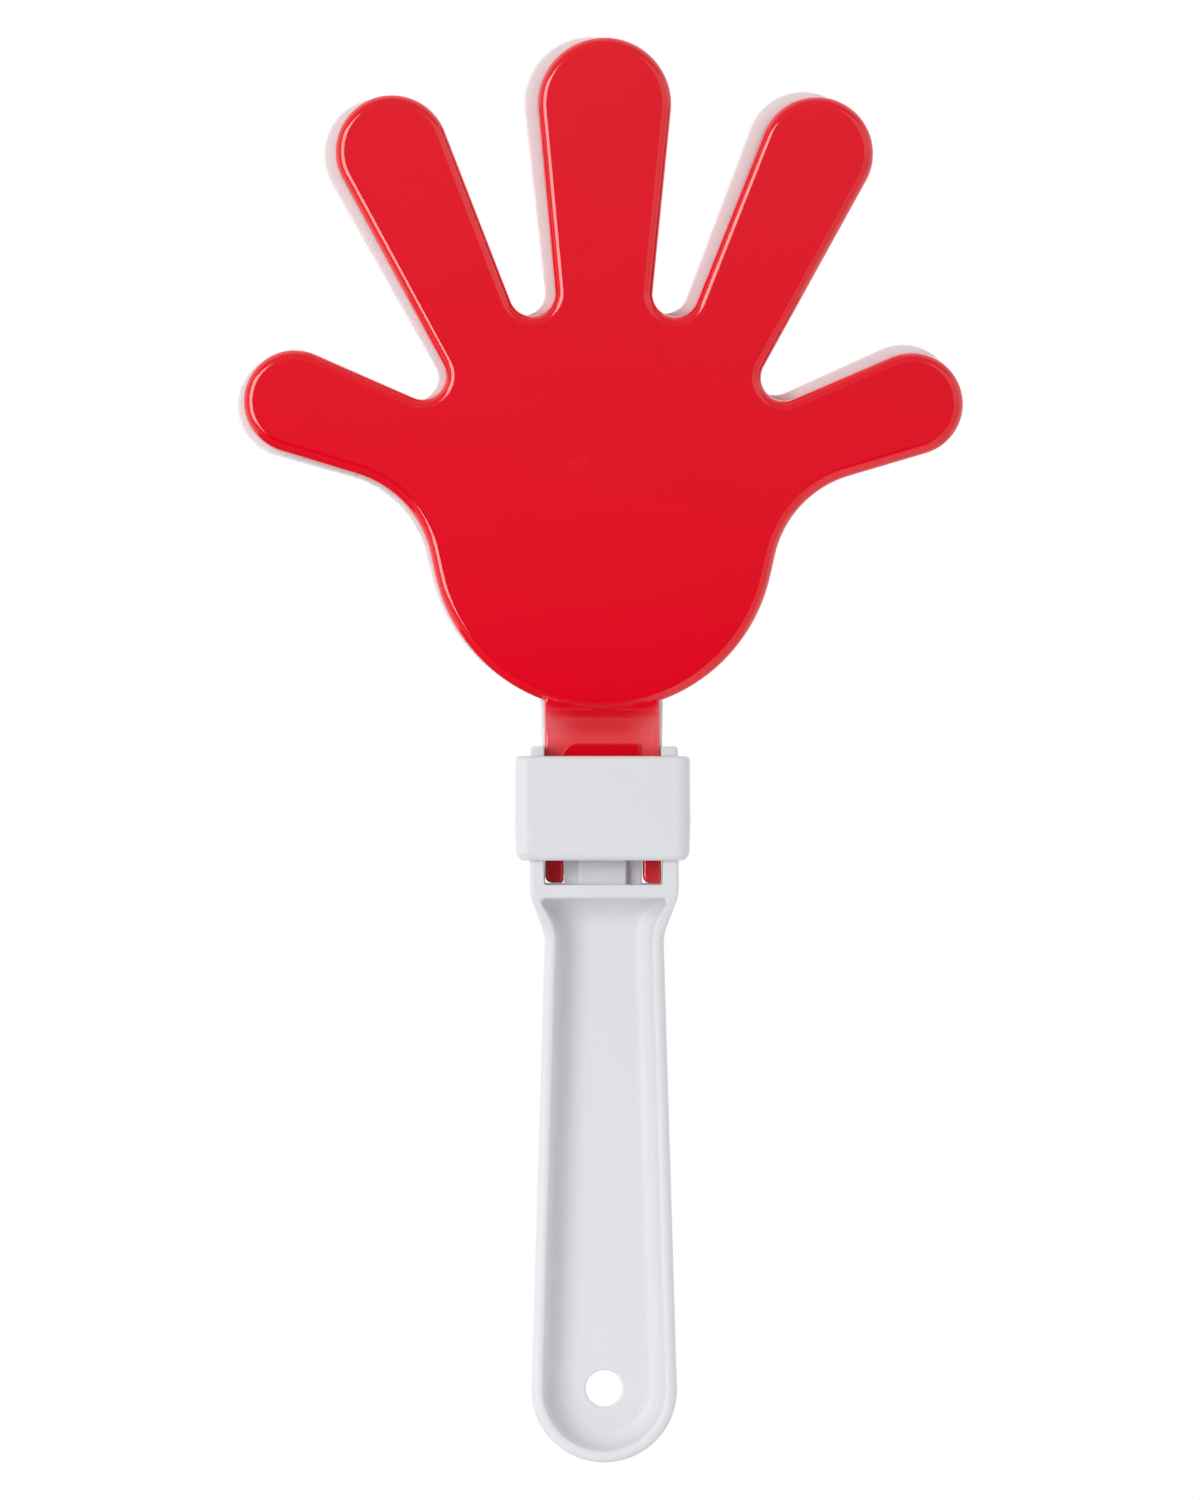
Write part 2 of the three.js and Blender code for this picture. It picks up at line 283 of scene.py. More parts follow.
# %% [markdown]
# ## Moulded plastic
#
# All four mouldings share one kind of surface: plastic that flowed into a steel mould. It is never
# perfectly even. The flow leaves broad, faint waves that bend reflections, the mould's own polish leaves a
# fine grain, and the gloss changes a little from place to place. A photo texture could hold that, but it
# would not fit another view, so one shader group makes it from noise in the object's own space. Each
# plastic then sets how strong it is.

# %% The moulded skin group
skin = bpy.data.node_groups.new("moulded_skin", "ShaderNodeTree")
for name, value in (
    ("Flow Scale", 22.0), ("Flow Height", 0.0002), ("Grain Scale", 2400.0), ("Grain Height", 0.000004),
    ("Roughness Low", 0.15), ("Roughness High", 0.22),
):
    socket = skin.interface.new_socket(name=name, in_out="INPUT", socket_type="NodeSocketFloat")
    socket.default_value = value
skin.interface.new_socket(name="Tint", in_out="OUTPUT", socket_type="NodeSocketFloat")
skin.interface.new_socket(name="Roughness", in_out="OUTPUT", socket_type="NodeSocketFloat")
skin.interface.new_socket(name="Normal", in_out="OUTPUT", socket_type="NodeSocketVector")

given = node(skin, "NodeGroupInput").outputs
result = node(skin, "NodeGroupOutput").inputs
place = node(skin, "ShaderNodeTexCoord").outputs["Object"]
flow = noise(skin, place, given["Flow Scale"], 1.5)
grain = noise(skin, place, given["Grain Scale"], 3.0)
waves, polish = (node(skin, "ShaderNodeBump") for _ in range(2))
for bump, relief, depth in ((waves, flow, "Flow Height"), (polish, grain, "Grain Height")):
    bump.inputs["Strength"].default_value = 1.0
    skin.links.new(relief, bump.inputs["Height"])
    skin.links.new(given[depth], bump.inputs["Distance"])
skin.links.new(waves.outputs["Normal"], polish.inputs["Normal"])
skin.links.new(polish.outputs["Normal"], result["Normal"])
skin.links.new(range_of(skin, flow, 0.3, 0.7, given["Roughness Low"], given["Roughness High"], "LINEAR"),
               result["Roughness"])
skin.links.new(range_of(skin, flow, 0.35, 0.65, 0.0, 1.0), result["Tint"])
print("skin group sockets:", [s.name for s in skin.interface.items_tree])

# %% [markdown]
# The red hand has two places of its own. Fingers have dulled a small patch on the palm, where the
# reflection breaks up into faint streaks. And the neck is rougher, as the mould was not polished there;
# it also carries painted light, a paler red that stands in for the broad sheen it catches, most of all
# along its sides. The painted light starts below an arch, so the red stays deep just under the palm. It
# stays off the thick stop on the neck and fades to a third as painted shade lower down, by the stop and
# the collar's top edge. The legs below get that weaker painted light too, but stay glossy.

# %% Smear
def smeared(owner, roughness, smear):
    """Adds streaks of a duller finish inside an oval patch."""
    fit = node(owner, "ShaderNodeMapping", vector_type="TEXTURE")
    fit.inputs["Location"].default_value = smear["centre"]
    fit.inputs["Rotation"].default_value = (0.0, smear["slope"], 0.0)
    fit.inputs["Scale"].default_value = (smear["length"], 1.0, smear["width"])
    owner.links.new(node(owner, "ShaderNodeTexCoord").outputs["Object"], fit.inputs["Vector"])
    from_centre = node(owner, "ShaderNodeVectorMath", operation="LENGTH")
    owner.links.new(fit.outputs["Vector"], from_centre.inputs[0])
    near = range_of(owner, from_centre.outputs["Value"], 0.25, 1.0, 1.0, 0.0)
    streaks = noise(owner, fit.outputs["Vector"], smear["streaks"], 6.0)
    wisps = range_of(owner, streaks, 0.48, 0.68, 0.0, smear["strength"])
    return calc(owner, "ADD", roughness, calc(owner, "MULTIPLY", near, wisps))


red_smear = {"centre": (-0.003, 0.0, 0.199), "length": 0.026, "width": 0.009, "slope": math.radians(-20),
             "streaks": 2.6, "strength": 0.15}
print("smear half sizes:", [round(red_smear[key] / MM, 1) for key in ("length", "width")], "mm")

# %% Painted light on the neck
def paint_neck_light_and_gloss(owner, tone, roughness, neck_painted_light_and_gloss):
    """Paints light onto a hand's neck and legs as a paler red, and dulls the neck's gloss."""
    x, y, z = axes_of(owner, node(owner, "ShaderNodeTexCoord").outputs["Object"])

    def along(source, key, start, end):
        return range_of(owner, source, *neck_painted_light_and_gloss[key], start, end)

    beside = calc(owner, "SUBTRACT", x, neck_painted_light_and_gloss["centre"])
    across = calc(owner, "ABSOLUTE", beside)
    squared = calc(owner, "MINIMUM", calc(owner, "MULTIPLY", beside, beside), neck_painted_light_and_gloss["widest"] ** 2)
    arched = calc(owner, "MULTIPLY_ADD", squared, -neck_painted_light_and_gloss["arch_rise"] / neck_painted_light_and_gloss["arch_half"] ** 2, z)
    off_stop = calc(owner, "MAXIMUM", along(z, "above_stop", 0.0, 1.0), along(y, "behind_stop", 0.0, 1.0))
    where = calc(owner, "MULTIPLY", along(arched, "arch", 1.0, 0.0), off_stop)

    unpolished = calc(owner, "MULTIPLY", along(across, "rim", 1.0, neck_painted_light_and_gloss["rim_share"]),
                      along(z, "legs", 0.0, 1.0))
    dull = calc(owner, "MULTIPLY", where, unpolished)
    # Painted light: a paler red, stronger towards the sides and cut to a third as painted shade low on the
    # neck.
    painted_side_light = along(across, "painted_side_light", neck_painted_light_and_gloss["middle_share"], 1.0)
    painted_light = calc(owner, "MULTIPLY", where,
                calc(owner, "MULTIPLY", along(z, "painted_shade_heights", neck_painted_light_and_gloss["painted_shade_share"], 1.0), painted_side_light))
    return mix_colours(owner, painted_light, tone, neck_painted_light_and_gloss["colour"]), mix(owner, dull, roughness, neck_painted_light_and_gloss["roughness"])


# Painted light on the red neck: the colour entry is a paler red painted on in place of light, and the shade
# entries set where it fades as painted shade. The roughness is the neck's real, unpolished gloss.
red_neck_painted_light_and_gloss = {
    "centre": -0.0004, "widest": 0.0123, "arch_half": 0.0113, "arch_rise": 0.0026, "arch": (0.1420, 0.1476),
    "above_stop": (0.1411, 0.1417), "behind_stop": (-0.0049, -0.0043), "painted_shade_heights": (0.1385, 0.1430),
    "painted_shade_share": 0.3, "rim": (0.0102, 0.0108), "rim_share": 0.35, "legs": (0.1260, 0.1270),
    "painted_side_light": (0.0040, 0.0123), "middle_share": 0.32, "roughness": 0.32, "colour": (0.980, 0.1350, 0.1550),
}
print("the neck's pale tone starts at", round(red_neck_painted_light_and_gloss["arch"][1] / MM, 1), "mm")

# %% The three plastics
def plastic(name, colour, deeper, skin_values, ior=1.5, specular=0.5, tint=(1.0, 1.0, 1.0), subsurface=0.0,
            smear=None, neck_painted_light_and_gloss=None):
    """A moulded plastic: two close tones mixed by the flow, with gloss and relief from the skin group."""
    material = bpy.data.materials.new(name)
    material.use_nodes = True
    tree = material.node_tree
    group = node(tree, "ShaderNodeGroup", node_tree=skin)
    for key, value in skin_values.items():
        group.inputs[key].default_value = value
    tone = mix_colours(tree, group.outputs["Tint"], colour, deeper)
    roughness = group.outputs["Roughness"]
    if smear:
        roughness = smeared(tree, roughness, smear)
    # The red hand's neck gets its painted light and duller gloss here.
    if neck_painted_light_and_gloss:
        tone, roughness = paint_neck_light_and_gloss(tree, tone, roughness, neck_painted_light_and_gloss)
    shader = tree.nodes["Principled BSDF"]
    for key, value in (
        ("Base Color", tone), ("Roughness", roughness), ("Normal", group.outputs["Normal"]), ("IOR", ior),
        ("Specular IOR Level", specular), ("Specular Tint", (*tint, 1.0)), ("Subsurface Weight", subsurface),
        ("Subsurface Radius", (1.0, 0.95, 0.95)), ("Subsurface Scale", 0.0025),
    ):
        feed(tree, shader.inputs[key], value)
    return material


red_plastic = plastic(
    "red_plastic", (0.860, 0.0025, 0.0185), (0.845, 0.0020, 0.0165),
    {"Flow Scale": 16.0, "Flow Height": 0.00012, "Grain Height": 0.0000010,
     "Roughness Low": 0.04, "Roughness High": 0.07},
    ior=1.58, specular=0.76, tint=(1.0, 0.90, 0.84), smear=red_smear, neck_painted_light_and_gloss=red_neck_painted_light_and_gloss,
)
white_gloss = plastic(
    "white_gloss", (0.885, 0.890, 0.905), (0.875, 0.880, 0.898),
    {"Flow Scale": 18.0, "Flow Height": 0.00010, "Grain Height": 0.0000012,
     "Roughness Low": 0.16, "Roughness High": 0.24}, subsurface=0.4,
)
white_satin = plastic(
    "white_satin", (0.771, 0.777, 0.813), (0.759, 0.767, 0.805),
    {"Flow Scale": 26.0, "Flow Height": 0.00006, "Grain Height": 0.0000040,
     "Roughness Low": 0.42, "Roughness High": 0.52}, subsurface=0.15,
)
print("plastics:", [m.name for m in (red_plastic, white_gloss, white_satin)])

# %% [markdown]
# ## Outlines like belts
#
# A hand made of round fingertips and round valleys is the path of a belt pulled around discs. Fingertip
# discs push the belt outwards, valley discs push it inwards, and between them it runs straight. Drawing it
# as a curve with dozens of handles would work too, but the belt has a gift: moving the whole outline
# inwards by one distance only makes the outer discs smaller and the valley discs larger, and every ring
# keeps the same number of points. That is just what a rounded edge needs. The insets have to stay smaller
# than the outer discs, or the belt folds over. Its straight runs bow outwards by half a thousandth of a
# millimetre, because the triangulation that fills a face makes slivers where many points lie exactly in one
# line.

# %% The belt
chord_error = 0.012
run_bow = 0.002
run_spacing = 2.5
fine_spacing = 1.5


def runs_of(discs):
    """For each disc, the straight run that leaves it: its outward normal's direction and its length."""
    runs = []
    for (x, z, radius, side), (next_x, next_z, next_radius, next_side) in zip(discs, discs[1:] + discs[:1]):
        step = radius * side - next_radius * next_side
        lean = math.acos(step / math.hypot(next_x - x, next_z - z))
        length = math.sqrt((next_x - x) ** 2 + (next_z - z) ** 2 - step ** 2)
        runs.append((math.atan2(next_z - z, next_x - x) - lean, length))
    return runs


def belt_counts(discs, spacing=run_spacing):
    """How many steps each arc gets, and how many each straight run gets."""
    runs, counts = runs_of(discs), []
    for index, (_, _, radius, side) in enumerate(discs):
        angle, length = runs[index]
        sweep = (side * (angle - runs[index - 1][0])) % (2 * math.pi)
        arc_steps = max(3, math.ceil(sweep / (2 * math.acos(1 - chord_error / radius))))
        counts.append((arc_steps, max(1, round(length / spacing))))
    return counts


def belt(discs, inset=0.0, spacing=run_spacing, counts=None):
    """Points (x, z) in mm round discs of (x, z, radius, side): side 1 bends outwards and -1 inwards."""
    angles = [angle for angle, _ in runs_of(discs)]
    counts = counts or belt_counts(discs, spacing)

    def spot(index, angle):
        x, z, radius, side = discs[index % len(discs)]
        reach = radius * side - inset
        return np.array((x + reach * math.cos(angle), z + reach * math.sin(angle)))

    points = []
    for index, (_, _, _, side) in enumerate(discs):
        arc_steps, run_steps = counts[index]
        start, end = angles[index - 1], angles[index]
        sweep = (side * (end - start)) % (2 * math.pi)
        points += [spot(index, start + side * sweep * k / arc_steps) for k in range(arc_steps + 1)]
        first, last = spot(index, end), spot(index + 1, end)
        outward = np.array((math.cos(end), math.sin(end)))
        points += [first + (last - first) * t + outward * run_bow * t * (1 - t)
                   for t in np.arange(1, run_steps) / run_steps]
    return np.array(points)


def both_sides(right):
    """The right half's discs, and then the same discs mirrored, in the order that the belt meets them."""
    return right + [(-x, z, radius, side) for x, z, radius, side in reversed(right)]


def plate(left, right, low, high, corners):
    """Discs for an upright plate. The corner radii go from low right over the top to low left."""
    places = ((right, low, -1, 1), (right, high, -1, -1), (left, high, 1, -1), (left, low, 1, 1))
    return [(x + to_right * radius, z + up * radius, radius, 1)
            for (x, z, to_right, up), radius in zip(places, corners)]


print("a test disc pair gives", len(belt([(0, 0, 5, 1), (20, 0, 3, 1)])), "points")

# %% [markdown]
# ## Rings
#
# Every rounded edge here is a quarter turn, be it outside on a tray, round the mouth of a hole or where a
# wall meets a floor. So one small list of number pairs serves them all, and bands of quads join the rings.

# %% Ring helpers
def new_ring(shape, points, depths):
    """A closed ring of vertices from (x, z) points and their y, all in millimetres."""
    depths = np.broadcast_to(depths, (len(points),))
    return [shape.verts.new((x * MM, y * MM, z * MM)) for (x, z), y in zip(points, depths)]


def join_rings(shape, first, second):
    """A band of quads between two rings that have the same number of vertices."""
    for index in range(len(first)):
        shape.faces.new((first[index - 1], first[index], second[index], second[index - 1]))


def join_all(shape, rings):
    """Bands between neighbouring rings."""
    for first, second in zip(rings, rings[1:]):
        join_rings(shape, first, second)


def quarter_turn(steps):
    """Pairs of numbers on a quarter of a circle: one falls from 1 to 0 while the other rises from 0 to 1."""
    turns = [0.5 * math.pi * k / steps for k in range(steps + 1)]
    return [(1 - math.sin(turn), 1 - math.cos(turn)) for turn in turns]


def circle(sides):
    """The cosines and sines of a full turn in equal steps."""
    turns = np.linspace(0, 2 * math.pi, sides + 1)[:-1]
    return [(math.cos(turn), math.sin(turn)) for turn in turns]


print("a quarter turn in two steps:", [(round(a, 2), round(b, 2)) for a, b in quarter_turn(2)])

# %% [markdown]
# A face between rings is filled by a triangulation that knows the outline, the holes and some extra points
# where the surface bends, so that it can follow the relief. Along an outline the triangles may be slivers,
# too thin to tell on which side of it they lie. So triangles that meet across an edge that is no outline
# are kept together, and the largest of each group decides whether the group belongs to the face.

# %% Filling a face
grid_step = 1.2
grid_margin = 0.35
merge_distance = 1e-7


def inside(points, loop):
    """Which points lie inside a closed loop, by counting crossings."""
    x, z = points[:, 0], points[:, 1]
    within = np.zeros(len(points), bool)
    for (ax, az), (bx, bz) in zip(loop, np.roll(loop, -1, axis=0)):
        crosses = (az > z) != (bz > z)
        if az != bz:
            within ^= crosses & (x < ax + (z - az) * (bx - ax) / (bz - az))
    return within


def touching(faces, walls):
    """Groups triangles that meet across an edge that is no part of an outline."""
    across = {}
    for index, (a, b, c) in enumerate(faces):
        for side in (frozenset((a, b)), frozenset((b, c)), frozenset((c, a))):
            if side not in walls:
                across.setdefault(side, []).append(index)
    beside = {index: set() for index in range(len(faces))}
    for pair in across.values():
        for index in pair:
            beside[index].update(pair)
    waiting, groups = set(beside), []
    while waiting:
        group, edge = set(), {waiting.pop()}
        while edge:
            group |= edge
            edge = set().union(*(beside[k] for k in edge)) - group
        waiting -= group
        groups.append(sorted(group))
    return groups


def fill(shape, rings, surface, rows=()):
    """Fills the area inside the first ring and outside the others. surface(z) gives y, and rows are heights
    that get extra points."""
    verts = [v for ring in rings for v in ring]
    flat = np.array([(v.co.x / MM, v.co.z / MM) for v in verts])
    loops, edges, start = [], [], 0
    for ring in rings:
        size = len(ring)
        edges += [(start + k, start + (k + 1) % size) for k in range(size)]
        loops.append(flat[start:start + size])
        start += size

    def in_area(points):
        kept = inside(points, loops[0])
        for loop in loops[1:]:
            kept &= ~inside(points, loop)
        return kept

    extra = []
    if len(rows):
        left, right = loops[0][:, 0].min(), loops[0][:, 0].max()
        grid = np.array([(x, z) for z in rows for x in np.arange(left + grid_step / 2, right, grid_step)])
        nearest = np.array([np.min(np.hypot(*(flat - p).T)) for p in grid])
        extra = grid[in_area(grid) & (nearest > grid_margin)]
    points, sides, faces, origins, side_origins, _ = delaunay_2d_cdt(
        [Vector(p) for p in (*flat, *extra)], edges, [], 0, merge_distance)

    made = []
    for point, origin in zip(points, origins):
        known = [k for k in origin if k < len(verts)]
        made.append(verts[known[0]] if known else
                    shape.verts.new((point.x * MM, surface(point.y) * MM, point.y * MM)))
    walls = {frozenset(side) for side, source in zip(sides, side_origins) if source}
    wanted = in_area(np.array([np.mean([points[k] for k in face], axis=0) for face in faces]))
    sizes = [abs((points[b] - points[a]).cross(points[c] - points[a])) for a, b, c in faces]
    for group in touching(faces, walls):
        if wanted[max(group, key=lambda k: sizes[k])]:
            for k in group:
                shape.faces.new([made[corner] for corner in faces[k]])


print("faces get a point every", grid_step, "mm along their rows")

# %% [markdown]
# ## Solids
#
# Tray, neck, stop, lugs, web and lips are joined as solids, and the lug holes are cut out as solids. The
# exact solver leaves the rings alone and only works where two solids meet.

# %% Solid helpers
sharp_degrees = 40.0
area_weight = 80


def to_object(shape, name, matrix=None):
    """Turns the mesh in hand into an object at the origin, with its faces outwards."""
    bmesh.ops.remove_doubles(shape, verts=shape.verts, dist=merge_distance)
    bmesh.ops.recalc_face_normals(shape, faces=shape.faces)
    if matrix is not None:
        shape.transform(matrix)
    mesh = bpy.data.meshes.new(name)
    shape.to_mesh(mesh)
    shape.free()
    made = bpy.data.objects.new(name, mesh)
    scene.collection.objects.link(made)
    return made


def bake(obj):
    """Replaces an object's mesh by what its modifiers make of it, and takes the modifiers off."""
    seen = bpy.context.evaluated_depsgraph_get()
    seen.update()
    final = obj.evaluated_get(seen)
    mesh = bpy.data.meshes.new_from_object(final, preserve_all_data_layers=True, depsgraph=seen)
    obj.modifiers.clear()
    obj.data = mesh


def combine(body, tool, operation):
    """Adds a solid to a body, or cuts it out, and throws the tool away."""
    work = body.modifiers.new(operation.lower(), "BOOLEAN")
    work.operation = operation
    work.solver = "EXACT"
    work.object = tool
    bake(body)
    bpy.data.objects.remove(tool)


def dress(obj, material):
    """Smooth shading that keeps flat faces flat, and the finish."""
    obj.data.shade_smooth()
    obj.data.set_sharp_from_angle(angle=math.radians(sharp_degrees))
    even = obj.modifiers.new("even_shading", "WEIGHTED_NORMAL")
    even.keep_sharp = True
    even.weight = area_weight
    bake(obj)
    obj.data.materials.clear()
    obj.data.materials.append(material)
    print(obj.name, "has", sum(len(p.vertices) - 2 for p in obj.data.polygons), "triangles")


print("solid helpers ready")

# %% [markdown]
# Neck, legs, stop, web and lips are all slabs: a belt seen from the front, a front and a back surface that
# may move forward and back with height, and a rounded edge between them. The handle has such edges too. A
# round bar serves as a lug, and as the tool that drills the lugs' holes.

# %% Slabs and bars
edge_steps = 6
probe = 0.05
bar_sides = 32


def rounded_rings(shape, outline, surface, edge, toward):
    """Rings from the side wall over a rounded edge to a face, with toward -1 in front and 1 behind."""
    rest = outline(0.0)
    inward = (outline(probe) - rest) / probe
    radius = np.array([edge(x, z) for x, z in rest])
    face = np.array([surface(z) for _, z in rest])
    rings = [new_ring(shape, rest + inward * (radius * rising)[:, None], face - toward * radius * falling)
             for falling, rising in quarter_turn(edge_steps)]
    join_all(shape, rings)
    return rings


def add_slab(body, name, discs, front, back, edge, spacing=run_spacing, rows=()):
    """Adds a slab to a body. front and back are the y of its faces, as numbers or as functions of z. edge is
    the radius of its rounded edges, and rows are heights where its faces get extra points."""
    shape = bmesh.new()
    faces = [y if callable(y) else lambda z, y=y: y for y in (front, back)]
    sides = [rounded_rings(shape, lambda inset: belt(discs, inset, spacing), face, lambda x, z: edge, toward)
             for face, toward in zip(faces, (-1, 1))]
    join_rings(shape, sides[0][0], sides[1][0])
    for rings, face in zip(sides, faces):
        fill(shape, [rings[-1]], face, rows)
    combine(body, to_object(shape, name), "UNION")


def round_bar(name, radius, start, end, chamfer, place=None):
    """A short round bar along X with a chamfered tip, in millimetres, centred on the lugs' axis."""
    shape = bmesh.new()
    shoulder = end - math.copysign(chamfer, end - start)
    rings = [[shape.verts.new((x * MM, size * c * MM, size * s * MM)) for c, s in circle(bar_sides)]
             for x, size in ((start, radius), (shoulder, radius), (end, radius - chamfer))]
    join_all(shape, rings)
    shape.faces.new(rings[0])
    shape.faces.new(rings[-1])
    return to_object(shape, name, place)


print("slab edges turn in", edge_steps, "steps")

# %% [markdown]
# ## The hands
#
# Each hand is a shallow tray, 6.8 mm deep and open towards the other hand, with a front wall 1.6 mm thick.
# Its front edge is rounded by 2 mm, which is what carries the bright line along the fingers. The tray is
# nothing but rings of the same belt at growing insets, closed by one flat face outside and one inside.

# %% Hand sizes
palm = (0.0, 61.5, 33.75, 1)
middle_tip = (0.0, 147.0, 13.17, 1)
index_tip = (41.75, 137.5, 11.15, 1)
thumb_tip = (60.65, 88.33, 10.1, 1)
inner_valley = (14.1, 109.8, 4.48, -1)
outer_valley = (35.55, 93.4, 4.56, -1)
flank = (54.45, 53.95, 21.05, -1)
right_half = [flank, thumb_tip, outer_valley, index_tip, inner_valley]
hand_discs = [palm] + right_half + [middle_tip] + both_sides(right_half)[len(right_half):]

pivot_height = 120.0
pivot_depth = 3.1
tray_rim = pivot_depth - 0.2
tray_face = tray_rim - 6.8
tray_floor = tray_face + 1.6
tray_wall = 3.7
face_radius = 2.0
rim_radius = 0.25
inner_rim_radius = 1.35
hollow_draft = 0.1
hollow_fillet = 0.6
print("hand outline:", len(belt(hand_discs)), "points a ring")

# %% Tray
def tray(shape):
    """The hollow hand in its own frame: the lugs' axis is X through the origin and the palm faces -Y."""
    outside = [(rim_radius * falling, tray_rim - rim_radius * rising) for falling, rising in quarter_turn(3)]
    outside += [(face_radius * rising, tray_face + face_radius * falling)
                for falling, rising in quarter_turn(12)]
    hollow = [(tray_wall - inner_rim_radius * falling, tray_rim - inner_rim_radius * rising)
              for falling, rising in quarter_turn(3)]
    hollow += [(tray_wall + hollow_draft + hollow_fillet * rising, tray_floor + hollow_fillet * falling)
               for falling, rising in quarter_turn(5)]
    outer, inner = ([new_ring(shape, belt(hand_discs, inset), y) for inset, y in profile]
                    for profile in (outside, hollow))
    join_all(shape, outer)
    join_all(shape, inner)
    join_rings(shape, outer[0], inner[0])
    shape.faces.new(outer[-1])
    shape.faces.new(inner[-1])


print("the tray's face lies", round(pivot_depth - tray_face, 1), "mm in front of the clapper's middle")

# %% [markdown]
# Below the palm the moulding narrows to a flat neck, which forks into two legs. The legs straddle the
# handle's web, and each carries a lug that turns in a hole in the rail beside it. The neck's front sweeps
# forward in a hollow curve to meet the palm, and a low stop on it keeps the collar from riding up.

# %% Neck and stop sizes
leg_reach = 6.2
fork_top = 7.2
neck_corner = 1.0
blunt_end = 0.65
full_end = 1.4
neck_half_depth = 1.1
neck_edge = 0.6
palm_bottom = palm[1] - palm[2]
neck_top = palm_bottom + 3.4
sweep_start = palm_bottom - 5.9
sweep_end = palm_bottom + 0.4
sweep_depth = 2.1
sweep_power = 2.6
row_step = 0.5

stop_top = 141.3 - pivot_height
stop_bottom = stop_top - 3.9
stop_rise = 0.8
stop_edge = 0.22
stop_corners = (0.35, 0.5, 3.4, 0.25)

lug_radius = 1.1
lug_root = 1.2
lug_length = 2.5
lug_chamfer = 0.25


def neck_discs(leg_half, fork_half, neck_half, leg_shift, neck_shift):
    """The outline of neck and legs. Each leg's end is rounder on its left side than on its right one."""
    return [
        (leg_shift + leg_half - blunt_end, blunt_end - leg_reach, blunt_end, 1),
        (neck_shift + neck_half - neck_corner, neck_top - neck_corner, neck_corner, 1),
        (neck_shift - neck_half + neck_corner, neck_top - neck_corner, neck_corner, 1),
        (leg_shift - leg_half + full_end, full_end - leg_reach, full_end, 1),
        (leg_shift - fork_half - blunt_end, blunt_end - leg_reach, blunt_end, 1),
        (leg_shift - fork_half + neck_corner, fork_top - neck_corner, neck_corner, -1),
        (leg_shift + fork_half - neck_corner, fork_top - neck_corner, neck_corner, -1),
        (leg_shift + fork_half + full_end, full_end - leg_reach, full_end, 1),
    ]


def neck_front(z):
    """y of the neck's front: flat below, then a hollow sweep forward to the palm."""
    along = min(1.0, max(0.0, (z - sweep_start) / (sweep_end - sweep_start)))
    return -neck_half_depth - sweep_depth * along ** sweep_power


print("neck front ahead of the lugs, low and high:", [round(-neck_front(z), 2) for z in (0.0, neck_top)], "mm")

# %% Front hand
def make_hand(name, seat, place, legs, stop_left, stop_right):
    """One whole hand: tray, neck with legs, a stop between two x, and the lugs that it sits on."""
    shape = bmesh.new()
    tray(shape)
    body = to_object(shape, name)
    rows = np.arange(sweep_start - row_step, neck_top, row_step)
    add_slab(body, "neck", neck_discs(**legs), neck_front, neck_half_depth, neck_edge, fine_spacing, rows)
    stop = plate(stop_left, stop_right, stop_bottom, stop_top, stop_corners)
    add_slab(body, "stop", stop, -neck_half_depth - stop_rise, 0.0, stop_edge)
    body.data.transform(seat)
    for side in (-1, 1):
        root, tip = side * (legs["leg_half"] - lug_root), side * (legs["leg_half"] + lug_length)
        combine(body, round_bar("lug", lug_radius, root, tip, lug_chamfer), "UNION")
    body.data.transform(place)
    return body


def seated(shift, rise, lean):
    """How a moulding sits on its lugs: moved sideways and up in millimetres, and leaning in degrees."""
    return Matrix.Translation(Vector((shift, 0.0, rise)) * MM) @ Matrix.Rotation(math.radians(lean), 4, "Y")


front_legs = dict(leg_half=11.45, fork_half=7.8, neck_half=11.3, leg_shift=0.35, neck_shift=0.0)
front_place = Matrix.Translation(Vector((0.0, -pivot_depth, pivot_height)) * MM)
front_hand = make_hand("front_hand_shell", seated(-0.53, 0.0, 0.23), front_place, front_legs, -8.0, 7.4)
dress(front_hand, red_plastic)
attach(front_hand, "front_hand")
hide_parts("front_hand")

# %% [markdown]
# The rear hand is the same moulding in white, turned to face the other way. It sits a little crooked on its
# lugs and leans by about a degree, so that white peeps out to the left of the fingers. Its neck widens
# steadily from the legs up to the palm, so that a narrow strip of white shows on both sides of the red one.

# %% Rear hand
rear_seat = seated(-0.33, 0.69, -0.90) @ Matrix.Rotation(math.pi, 4, "Z")
rear_place = Matrix.Translation(Vector((0.0, pivot_depth, pivot_height)) * MM)
rear_legs = dict(leg_half=11.2, fork_half=7.78, neck_half=12.2, leg_shift=-0.06, neck_shift=-0.27)
rear_hand = make_hand("rear_hand_shell", rear_seat, rear_place, rear_legs, -8.9, 8.9)
dress(rear_hand, white_gloss)
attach(rear_hand, "rear_hand")
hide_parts("rear_hand")

# %% [markdown]
# ## The handle
#
# The grip is recessed front and back, so that a thin web joins two edge beams, and its rounded end has a
# hole to hang it by. Towards the head it narrows to a waist and swells again, seen from the front and from
# the side. The head is a fork of two rails. The whole front outline, rails and window included, is one
# belt. How deep the handle is at each height is another belt, drawn from the side. That one starts 20 mm up
# and ends above the rails.

# %% Handle sizes
end_radius = 14.3
head_half = 14.6
waist_half = 11.7
bend = 8.0
shoulder_height = 113.0
waist_height = 102.3
rail_half = 14.4
rail_top = 140.7
rail_corner = 0.75
rail_inner_corner = 0.25
window_bottom = 113.6
window_corner = 0.4
grip_half_depth = 7.5
head_half_depth = 10.4


